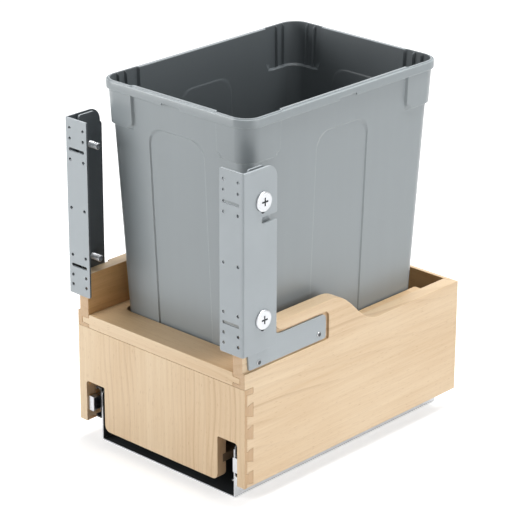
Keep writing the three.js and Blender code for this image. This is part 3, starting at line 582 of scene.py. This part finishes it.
def in_recess(name):
    """A test for the cross of a clamp screw, or for the flat middle of an arm screw's head, which get a
    dark coat as painted shade.
    """
    low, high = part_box(name)
    middle, top = (low + high) / 2, max(abs(low.x), abs(high.x))

    def on_disc(face):
        """True on the flat middle of the head."""
        return abs(face.normal.x) > squarely and abs(face.center.x) > top - disc_depth

    def in_cross(face):
        """True below the head's rim, near its axis."""
        from_axis = math.hypot(face.center.y - middle.y, face.center.z - middle.z)
        return from_axis < cross_reach and top - head_height < abs(face.center.x) < top - cross_sink

    return on_disc if name.startswith("arm_screw") else in_cross


print("the pan's sides stand at", round(pan_low.x, 4), "and", round(pan_high.x, 4))

# %% Second finishes
def second_finish(made, finish, chosen):
    """Give another finish to the chosen faces."""
    made.data.materials.append(finish)
    for face in made.data.polygons:
        if chosen(face):
            face.material_index = len(made.data.materials) - 1


for name, piece in copied.items():
    # The pan's inside keeps its dark coat as painted shade; its outer faces and front edges get bright
    # zinc.
    if name == "mounting_pan":
        second_finish(piece, finishes["bright_zinc"], outside_pan)
    # The recesses of the screws get the dark coat as painted shade.
    elif name.startswith(("clamp_screw", "arm_screw")):
        second_finish(piece, finishes["dark_steel"], in_recess(name))
    # Painted shade: a darker grey on the inner faces of the brackets and arm plates.
    elif name.startswith(("door_bracket", "arm_plate")):
        second_finish(piece, inner_faces_painted_shade, looks_inwards)
    # The inner faces of the sides and the rear get warmer, darker maple as painted shade.
    elif name.startswith("side_panel"):
        second_finish(piece, side_inside_painted_shade, looks_inwards)
    elif name == "rear_panel":
        second_finish(piece, rear_inside_painted_shade, looks_forwards)
    # The deck's front edge keeps plain maple, lighter than its top, which has painted shade.
    elif name == "deck_panel":
        second_finish(piece, deck_edge_unshaded, looks_forwards)
print(sum(len(piece.data.materials) > 1 for piece in copied.values()), "pieces have a second finish")

# %% [markdown]
# ## The moulded bin
#
# The real bin is one moulded shell of even thickness: a tapered box with a turned-down rim, a
# pressed arch in each wall, a proud pad at each top corner with ribs inside, and a shallow notch
# in the middle of each skirt. A shell like that is easiest to make as a grid of rows and columns
# round a rounded rectangle, where one small function says how far the wall stands in or out at
# any spot. The inner face follows the same function, with fainter arches.

# %% The bin's sizes, outer ones from its solid
bin_low, bin_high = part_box("waste_bin")
bin_place = Vector(((bin_low.x + bin_high.x) / 2, (bin_low.y + bin_high.y) / 2, bin_low.z))
bin_height = 454.6 * mm
rim_half, rim_corner = Vector((133.5, 188)) * mm, 27 * mm
foot_half, foot_corner = Vector((109.5, 157.2)) * mm, 15 * mm
foot_edge = 6 * mm
neck_inset = 6.5 * mm
neck_corner = rim_corner - neck_inset
wall = 2.6 * mm
rim_step, bead_inset = 1.2 * mm, 4.6 * mm
skirt_height, skirt_thickness = 12.6 * mm, 2.4 * mm
notch_half, notch_rise, notch_soft = 16.5 * mm, 3 * mm, 0.8 * mm
print("bin stands at", [round(v, 4) for v in bin_place])

# %% The sizes of its arches, pads and ribs
arch_half, arch_low, arch_high = 49 * mm, 30 * mm, 404 * mm
arch_corner, arch_depth, arch_soft = 24 * mm, 2 * mm, 2.2 * mm
inner_arch = 0.3
pad_low, pad_top = 394 * mm, bin_height + 40 * mm  # a pad runs past the rim, so only its foot is round
pad_corner, pad_proud, pad_soft = 12 * mm, 4 * mm, 2.6 * mm
pad_reach = (52 * mm, 60 * mm)
rib_low, rib_high = pad_low + 1.5 * mm, bin_height - 2 * mm
rib_spots, rib_half = (23.5 * mm, 37.5 * mm), 0.8 * mm
print("arches", round(2 * arch_half, 3), "m wide and", round(arch_high - arch_low, 3), "m high")


# %% How far the wall stands out at a spot
def soft_step(distance, softness):
    """0 outside a form, 1 inside it, with a smooth edge of this width."""
    share = min(1.0, max(0.0, 0.5 - distance / softness))
    return share * share * (3 - 2 * share)


def round_box(u, v, half_u, half_v, corner):
    """Signed distance to a rounded rectangle round the origin."""
    outside_u = abs(u) - half_u + corner
    outside_v = abs(v) - half_v + corner
    reach = math.hypot(max(outside_u, 0), max(outside_v, 0))
    return reach + min(max(outside_u, outside_v), 0) - corner


def stand_out(spot, height, arch_share=1.0):
    """How far the wall stands out from its plain taper. The spot says where round the bin."""
    arch = round_box(spot["along"], height - (arch_low + arch_high) / 2,
                     arch_half, (arch_high - arch_low) / 2, arch_corner)
    rise = -arch_depth * arch_share * soft_step(arch, arch_soft)
    for from_end in spot["ends"]:
        pad = round_box(from_end, height - (pad_low + pad_top) / 2,
                        spot["reach"], (pad_top - pad_low) / 2, pad_corner)
        rise += pad_proud * soft_step(pad, pad_soft)
    return rise


def rib_at(spot, height):
    """True where a rib fills a corner pad's hollow."""
    in_rib = any(abs(from_end - centre) < rib_half
                 for from_end in spot["ends"] for centre in rib_spots)
    return in_rib and rib_low < height < rib_high


print("arch at mid height:", round(stand_out({"along": 0, "ends": ()}, bin_height / 2) / mm, 2), "mm")

# %% [markdown]
# The columns round the bin lie close together where a form has an edge and far apart where the
# wall is plain. The rows do the same up the wall. That keeps the mesh small and its forms crisp.
# The walls taper, so the outer columns of each wall spread out from fixed ones in its middle.

# %% Marks along a wall
def spread(low, high, step):
    """Evenly spaced numbers from low to high."""
    count = max(1, round((high - low) / step))
    return [low + (high - low) * i / count for i in range(count + 1)]


def around_edges(edge, gap, count):
    """Marks close to a form's two edges: this many on each side of both, a gap apart."""
    return [side * edge + gap * i for side in (-1, 1) for i in range(-count, count + 1)]


def thinned(numbers, gap):
    """Sorted numbers, without any that lies closer than gap to the one before it."""
    kept = []
    for number in sorted(numbers):
        if not kept or number - kept[-1] > gap:
            kept.append(number)
    return kept


print("marks at an arch's edges:", len(around_edges(arch_half, 0.8 * mm, 3)))

# %% Columns round the bin
fixed_reach = (84 * mm, 130 * mm)
least_gap, end_gap = 0.4 * mm, 0.3 * mm
plain_gap, bend_gap, corner_gap = 9 * mm, 3 * mm, 4 * mm
near_corner = [1 * mm, 2 * mm, 3 * mm]


def wall_columns(axis, sign):
    """The columns of one wall, from its low end to its high end."""
    reach = fixed_reach[axis]
    marks = around_edges(arch_half, 0.8 * mm, 3) + around_edges(notch_half, 0.5 * mm, 1)
    marks += around_edges(rim_half[axis] - neck_inset - pad_reach[axis], 0.6 * mm, 4)
    marks += spread(-arch_half, arch_corner - arch_half, bend_gap)
    marks += spread(arch_half - arch_corner, arch_half, bend_gap)
    marks += spread(-reach, reach, plain_gap)
    fixed = [mark for mark in thinned(marks, least_gap) if abs(mark) < reach - end_gap]
    end = rim_half[axis] - rim_corner - reach
    shares = [step / end for step in spread(0, end, 1 * mm)]
    places = [(-1, share) for share in reversed(shares)] + [(0, mark) for mark in fixed]
    places += [(1, share) for share in shares]
    return [{"axis": axis, "sign": sign, "place": place} for place in places]


def corner_columns(sign_x, sign_y, start):
    """The columns of one rounded corner; start is its first angle."""
    arc = neck_corner * math.pi / 2
    steps = near_corner + spread(6 * mm, arc - 6 * mm, corner_gap)
    steps += [arc - step for step in reversed(near_corner)]
    return [{"corner": (sign_x, sign_y), "angle": start + step / neck_corner,
             "from_end": neck_corner - min(step, arc - step)} for step in steps]


columns = (wall_columns(0, -1) + corner_columns(1, -1, -math.pi / 2)
           + wall_columns(1, 1) + corner_columns(1, 1, 0)
           + wall_columns(0, 1)[::-1] + corner_columns(-1, 1, math.pi / 2)
           + wall_columns(1, -1)[::-1] + corner_columns(-1, -1, math.pi))
print(len(columns), "columns round the bin")


# %% Where a column stands
def body_size(height):
    """Half width, half length and corner radius of the tapered body at a height."""
    share = height / bin_height
    half = foot_half.lerp(rim_half - Vector((neck_inset, neck_inset)), share)
    return half.x, half.y, foot_corner + (neck_corner - foot_corner) * share


def column_point(column, size, offset):
    """Where a column meets a rounded rectangle of this size, moved outwards by offset."""
    half_x, half_y, corner = size
    if "corner" in column:
        sign_x, sign_y = column["corner"]
        centre = Vector((sign_x * (half_x - corner), sign_y * (half_y - corner)))
        turn = Vector((math.cos(column["angle"]), math.sin(column["angle"])))
        return centre + turn * (corner + offset)
    axis, (side, amount) = column["axis"], column["place"]
    fixed, flat_end = fixed_reach[axis], (half_x, half_y)[axis] - corner
    along = amount if side == 0 else side * (fixed + amount * (flat_end - fixed))
    out = column["sign"] * ((half_y, half_x)[axis] + offset)
    return Vector((along, out)) if axis == 0 else Vector((out, along))


def column_spot(column):
    """What stand_out and rib_at need to know of a column near the rim."""
    if "corner" in column:
        return {"along": 1.0, "ends": (column["from_end"],), "reach": pad_reach[0]}
    axis = column["axis"]
    neck = rim_half[axis] - neck_inset
    along = column_point(column, body_size(bin_height), 0)[axis]
    return {"along": along, "ends": (neck - along, neck + along), "reach": pad_reach[axis]}


spots = [column_spot(column) for column in columns]
print("the first column stands at", round(spots[0]["along"], 4))


# %% Points of one row
def spot_at(index, height):
    """The spot of a column at a height: the walls taper, so its place in the wall changes."""
    spot = dict(spots[index])
    if "axis" in columns[index]:
        spot["along"] = column_point(columns[index], body_size(height), 0)[columns[index]["axis"]]
    return spot


def body_row(height, inset=0.0, plain=False, inner=False):
    """A row of points round the body. The inner side has fainter arches, and ribs in its pads."""
    row = []
    for index, column in enumerate(columns):
        spot = spot_at(index, height)
        flat = plain or (inner and rib_at(spot, height))
        rise = 0.0 if flat else stand_out(spot, height, inner_arch if inner else 1.0)
        point = column_point(column, body_size(height), rise - inset)
        row.append((point.x, point.y, height))
    return row


def rim_row(inset, height, notched=False, follow=0.0):
    """A row round the rim. The skirt's edge rises at its notch, and the bead follows the pads."""
    row = []
    for spot, column in zip(spots, columns):
        rise = follow * stand_out(spot, bin_height)
        point = column_point(column, (*rim_half, rim_corner), rise - inset)
        lift = 0.0
        if notched and "axis" in column:
            lift = notch_rise * soft_step(abs(point[column["axis"]]) - notch_half, notch_soft)
        row.append((point.x, point.y, height + lift))
    return row


print("one row has", len(body_row(bin_height / 2)), "points")

# %% [markdown]
# Seen in section, the shell starts under its foot, climbs the outside, turns out under the rim,
# goes down and up again round the skirt, over the rim's flange and its bead, and then down the
# inside to the floor. Two flat caps close it.

# %% The bin's section
flange, rim_under = bin_height - rim_step, bin_height - rim_step - wall
skirt_low = bin_height - skirt_height
hollow_rise, hollow_inset, ring_inset = 1.2 * mm, 18 * mm, 15 * mm
bead_follow = 0.65
quarter = [math.radians(angle) for angle in (0, 22.5, 45, 67.5)]
climb_bands = ((27, 33, 1), (36, 54, 3), (70, 370, 20), (380, 391, 2.5), (392, 396, 0.5),
               (397.5, 401, 1.5), (402, 406.5, 0.9), (408.5, 441, 9))  # from, to and step, in mm
climb = [12 * mm, 20 * mm] + [level * mm for band in climb_bands for level in spread(*band)]
skirt = (  # inset, height, and whether the row rises at the notch
    (skirt_thickness, rim_under, False), (skirt_thickness, skirt_low + 0.7 * mm, True),
    (skirt_thickness - 0.6 * mm, skirt_low, True), (0.6 * mm, skirt_low, True),
    (0.0, skirt_low + 0.6 * mm, True), (0.0, flange - 1.1 * mm, False),
    (0.3 * mm, flange - 0.3 * mm, False), (1.1 * mm, flange, False))
bead = (  # inset from the bead's line, and height
    (-0.6 * mm, flange), (-0.2 * mm, flange - 0.9 * mm), (0.4 * mm, flange - 0.9 * mm),
    (0.8 * mm, bin_height - 0.5 * mm), (1.3 * mm, bin_height))
inside = [(bin_height, wall - 0.7 * mm), (bin_height - 0.7 * mm, wall)]  # height and inset
inside += [(level, wall) for level in [rim_under] + climb[::-1]]
print(len(climb), "rows up the wall")


# %% The bin's rows
def foot_rows(angles, sunk=0.0):
    """Rows round the foot's rounded edge, or round the same edge sunk by the wall's thickness."""
    return [body_row(sunk + foot_edge * (1 - math.cos(angle)), sunk + foot_edge * (1 - math.sin(angle)),
                     plain=True) for angle in angles]


rows = [body_row(hollow_rise, hollow_inset, plain=True), body_row(0, ring_inset, plain=True)]
rows += foot_rows(quarter)
rows += [body_row(level) for level in [foot_edge] + climb + [rim_under]]
rows += [rim_row(inset, level, notched) for inset, level, notched in skirt]
rows += [rim_row(bead_inset + inset, level, follow=bead_follow) for inset, level in bead]
outside_rows = len(rows)
rows += [body_row(level, inset, inner=True) for level, inset in inside]
rows += foot_rows(quarter[::-1], wall)
print(outside_rows, "rows outside and", len(rows) - outside_rows, "inside")


# %% The bin's mesh
def quads_between(rings, count, closed=False):
    """Faces between rings of points; a closed skin also joins the last ring to the first."""
    faces = []
    for ring in range(rings if closed else rings - 1):
        here, there = ring * count, (ring + 1) % rings * count
        faces += [(here + i, here + (i + 1) % count, there + (i + 1) % count, there + i)
                  for i in range(count)]
    return faces


def shade_forms(mesh):
    """Smooth shading that keeps the sharp edges."""
    mesh.shade_smooth()
    mesh.set_sharp_from_angle(angle=math.radians(35))


def new_piece(name, vertices, faces):
    """A mesh object from points and faces."""
    mesh = bpy.data.meshes.new(name)
    mesh.from_pydata(vertices, [], faces)
    shade_forms(mesh)
    return add_object(name, mesh)


around = len(columns)
vertices = [tuple(Vector(point) + bin_place) for row in rows for point in row]
under_foot = tuple(reversed(range(around)))
floor_inside = tuple(range(len(vertices) - around, len(vertices)))
faces = quads_between(len(rows), around) + [under_foot, floor_inside]
bin_piece = new_piece("waste_bin_moulded", vertices, faces)
stand_for(bin_piece, "waste_bin")
# Faces of the inner rows and the inner floor get the darker grey: painted shade inside the bin.
bin_piece.data.materials.append(bin_inside_painted_shade)
for face in bin_piece.data.polygons:
    if face.index >= outside_rows * around and face.index != len(faces) - 2:
        face.material_index = 1
print("the bin has", len(rows), "rows and", len(faces), "faces")

# %% [markdown]
# ## Sleeves with a real thread
#
# Each clamp screw turns in a threaded sleeve. The sleeves show through the brackets from behind,
# so their thread is a true helix: the radius of the skin rises and falls with the turn and the
# distance along the axis. A stack of separate rings would be simpler, but it wouldn't climb.

# %% Rings of a sleeve
sleeve_radius, sleeve_bore = 4.6 * mm, 3.5 * mm
collar_radius, collar_length = 9 * mm, 4.55 * mm
chamfer, tip_taper, neck_length = 0.5 * mm, 0.7 * mm, 0.6 * mm
thread_pitch, thread_depth, thread_slope = 1.25 * mm, 0.45 * mm, 2.6
ring_sides = 28
angles = [2 * math.pi * i / ring_sides for i in range(ring_sides)]


def turned(x, radius):
    """A plain ring: its distance along the axis, and its radius at each angle."""
    return x, [radius] * ring_sides


def threaded(x):
    """A ring whose radius follows the thread."""
    climbs = [(x / thread_pitch + angle / (2 * math.pi)) % 1 for angle in angles]
    return x, [sleeve_radius - thread_depth * min(1, thread_slope * abs(part - 0.5)) for part in climbs]


def ring_points(ring, axis, hand):
    """The points of a ring about an X axis, on the left or right hand of the tray."""
    x, radii = ring
    return [(hand * x, axis.y + hand * radius * math.cos(angle), axis.z + radius * math.sin(angle))
            for angle, radius in zip(angles, radii)]


print(ring_sides, "points in a ring")

# %% Threaded sleeves
def nodes_named(start):
    """The names of the solids that start with a word, in order."""
    return sorted(name for name in frame["nodes"] if name.startswith(start))


for name in nodes_named("threaded_sleeve"):
    low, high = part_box(name)
    hand = 1 if high.x > 0 else -1
    start, end = sorted((abs(low.x), abs(high.x)))
    shoulder = end - collar_length
    collar = ((shoulder - neck_length, sleeve_radius - chamfer), (shoulder, sleeve_radius - chamfer),
              (shoulder, collar_radius - chamfer), (shoulder + chamfer, collar_radius),
              (end - chamfer, collar_radius), (end, collar_radius - chamfer), (end, sleeve_bore))
    rings = [turned(start, sleeve_bore), turned(start, sleeve_radius - tip_taper)]
    rings += [threaded(x) for x in spread(start + chamfer, shoulder - 2 * neck_length, thread_pitch / 5)]
    rings += [turned(x, radius) for x, radius in collar]
    points = [point for ring in rings for point in ring_points(ring, (low + high) / 2, hand)]
    turned_out = [(a, d, c, b) for a, b, c, d in quads_between(len(rings), ring_sides, closed=True)]
    stand_for(new_piece(name + "_cut", points, turned_out), name)
print("sleeves with", len(rings), "rings each")

# %% [markdown]
# ## Ball cages
#
# The balls of a drawer slide sit in a thin strip that is bent to a U. The strip keeps them apart,
# and it rolls at half the speed of the channel that runs on it. Each ball is a true sphere here,
# half sunk in its strip.

# %% Ball cages
ball_radius, cage_balls = 2 * mm, 10
ball_sides, ball_bands = 16, 10
cage_sheet, strip_cover = 0.6 * mm, 0.6


def add_strip(shape, section, front, length):
    """Draw a section across the slide and pull it to the strip's length."""
    face = shape.faces.new([shape.verts.new((x, front, z)) for x, z in section])
    grown = bmesh.ops.extrude_face_region(shape, geom=[face])["geom"]
    moved = [part for part in grown if isinstance(part, bmesh.types.BMVert)]
    bmesh.ops.translate(shape, vec=(0, length, 0), verts=moved)


def cage_mesh(name):
    """A bent strip and its two rows of balls, inside the box of its solid."""
    low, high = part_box(name)
    hand = 1 if high.x > 0 else -1
    web, ball_edge = sorted((abs(low.x), abs(high.x)))
    row_x = ball_edge - ball_radius
    strip_edge = row_x + strip_cover * ball_radius
    middle, row_z = (low.z + high.z) / 2, (high.z - low.z) / 2 - ball_radius
    half, web_face = cage_sheet / 2, web + cage_sheet
    section = [(web, -row_z - half), (strip_edge, -row_z - half), (strip_edge, -row_z + half),
               (web_face, -row_z + half), (web_face, row_z - half), (strip_edge, row_z - half),
               (strip_edge, row_z + half), (web, row_z + half)]
    shape = bmesh.new()
    add_strip(shape, [(hand * x, middle + z) for x, z in section], low.y, high.y - low.y)
    for side in (-1, 1):
        for index in range(cage_balls):
            y = low.y + (index + 0.5) * (high.y - low.y) / cage_balls
            spot = Matrix.Translation((hand * row_x, y, middle + side * row_z))
            bmesh.ops.create_uvsphere(shape, u_segments=ball_sides, v_segments=ball_bands,
                                      radius=ball_radius, matrix=spot)
    bmesh.ops.recalc_face_normals(shape, faces=shape.faces)
    mesh = bpy.data.meshes.new(name + "_balls")
    shape.to_mesh(mesh)
    shape.free()
    shade_forms(mesh)
    return mesh


for name in nodes_named("ball_cage"):
    stand_for(add_object(name + "_balls", cage_mesh(name)), name)
print("cages with", 2 * cage_balls, "balls each")

# %% [markdown]
# ## Studio
#
# The photograph is a plain catalogue shot on white. A wide pale floor takes the shadow, large soft
# lamps stand in for the studio's boxes, and the world fills the shadows. White behind the object
# comes from what the camera sees of the floor and the world, and never from more light on the object.

# %% Floor
def seen_share(tree):
    """1 for what the camera sees directly, in a reflection or through glass, otherwise 0."""
    rays = add_node(tree, "ShaderNodeLightPath").outputs
    mirrored = maths(tree, "MAXIMUM", rays["Is Glossy Ray"], rays["Is Transmission Ray"])
    return maths(tree, "MAXIMUM", rays["Is Camera Ray"], mirrored)


floor_half, floor_glow = 9.0, 0.5
paper, tree, shader = new_material("white paper floor")
mottle = noise_at(tree, add_node(tree, "ShaderNodeTexCoord").outputs["Object"], (3, 3, 3), 2)
fill(tree, shader, Base_Color=blend_colours(tree, mottle, (0.80, 0.80, 0.80, 1), (0.83, 0.83, 0.83, 1)),
     Roughness=remap(tree, mottle, 0, 1, 0.75, 0.85), Emission_Color=(1, 1, 1, 1),
     Emission_Strength=times(tree, seen_share(tree), floor_glow))

corners = [(x * floor_half, y * floor_half, 0) for x, y in ((-1, -1), (1, -1), (1, 1), (-1, 1))]
floor_mesh = bpy.data.meshes.new("studio_floor")
floor_mesh.from_pydata(corners, [], [(0, 1, 2, 3)])
floor_mesh.materials.append(paper)
add_object("studio_floor", floor_mesh)
print("floor", 2 * floor_half, "m wide")

# %% World
fill_light, seen_white = 0.22, 1.0


def glow(tree, strength):
    """Plain white light of this strength."""
    inputs = {"Color": (1, 1, 1, 1), "Strength": strength}
    return add_node(tree, "ShaderNodeBackground", inputs).outputs[0]


world = bpy.data.worlds.new("studio world")
bpy.context.scene.world = world
world.use_nodes = True
tree = world.node_tree
tree.nodes.clear()
inputs = {0: seen_share(tree), 1: glow(tree, fill_light), 2: glow(tree, seen_white)}
mixed = add_node(tree, "ShaderNodeMixShader", inputs)
add_node(tree, "ShaderNodeOutputWorld", {"Surface": mixed.outputs[0]})
print("the world fills at", fill_light)

# %% [markdown]
# A broad lamp in front and to the left lights the tray's front, a weaker one shapes the right side,
# and the strongest hangs above and gives the rim and the deck their light tops.

# %% Lamps
lamps = {  # place in metres, width in metres, and power in watts
    "front left box": ((-1.6, -2.0, 0.95), 1.3, 42),
    "right box": ((2.5, 0.35, 0.95), 1.4, 26),
    "top box": ((0.2, 0.6, 2.6), 1.6, 74),
}
lit_point = Vector((0, 0, 0.25))
for name, (spot, width, power) in lamps.items():
    light = bpy.data.lights.new(name, "AREA")
    light.size = width
    light.energy = power
    lamp = add_object(name, light)
    lamp.location = spot
    lamp.rotation_euler = (lit_point - Vector(spot)).to_track_quat("-Z", "Y").to_euler()
print(len(lamps), "soft boxes")

# %% [markdown]
# ## Camera
#
# The camera was solved from the photograph: the tray's edges, the bin's rim and the brackets give
# the direction, the distance and the lens. It looks straight at its target, with no shift.

# %% Camera
look_at, distance = Vector((-52.85, 41.3, 213.27)) * mm, 3317.56 * mm
azimuth, elevation, roll = math.radians(43.178), math.radians(21.958), math.radians(0.206)
sensor_width, focal_length = 36, 165.88
back = Vector((math.sin(azimuth) * math.cos(elevation), -math.cos(azimuth) * math.cos(elevation),
               math.sin(elevation)))
lens = bpy.data.cameras.new("camera")
lens.sensor_width = sensor_width
lens.lens = focal_length
lens.clip_end = 60
camera = add_object("camera", lens)
camera.location = look_at + back * distance
camera.rotation_mode = "QUATERNION"
camera.rotation_quaternion = back.to_track_quat("Z", "Y") @ Matrix.Rotation(roll, 3, "Z").to_quaternion()
bpy.context.scene.camera = camera
bpy.context.scene.view_settings.view_transform = "Standard"
print("camera at", [round(v, 3) for v in camera.location])

# %% The last line
import json
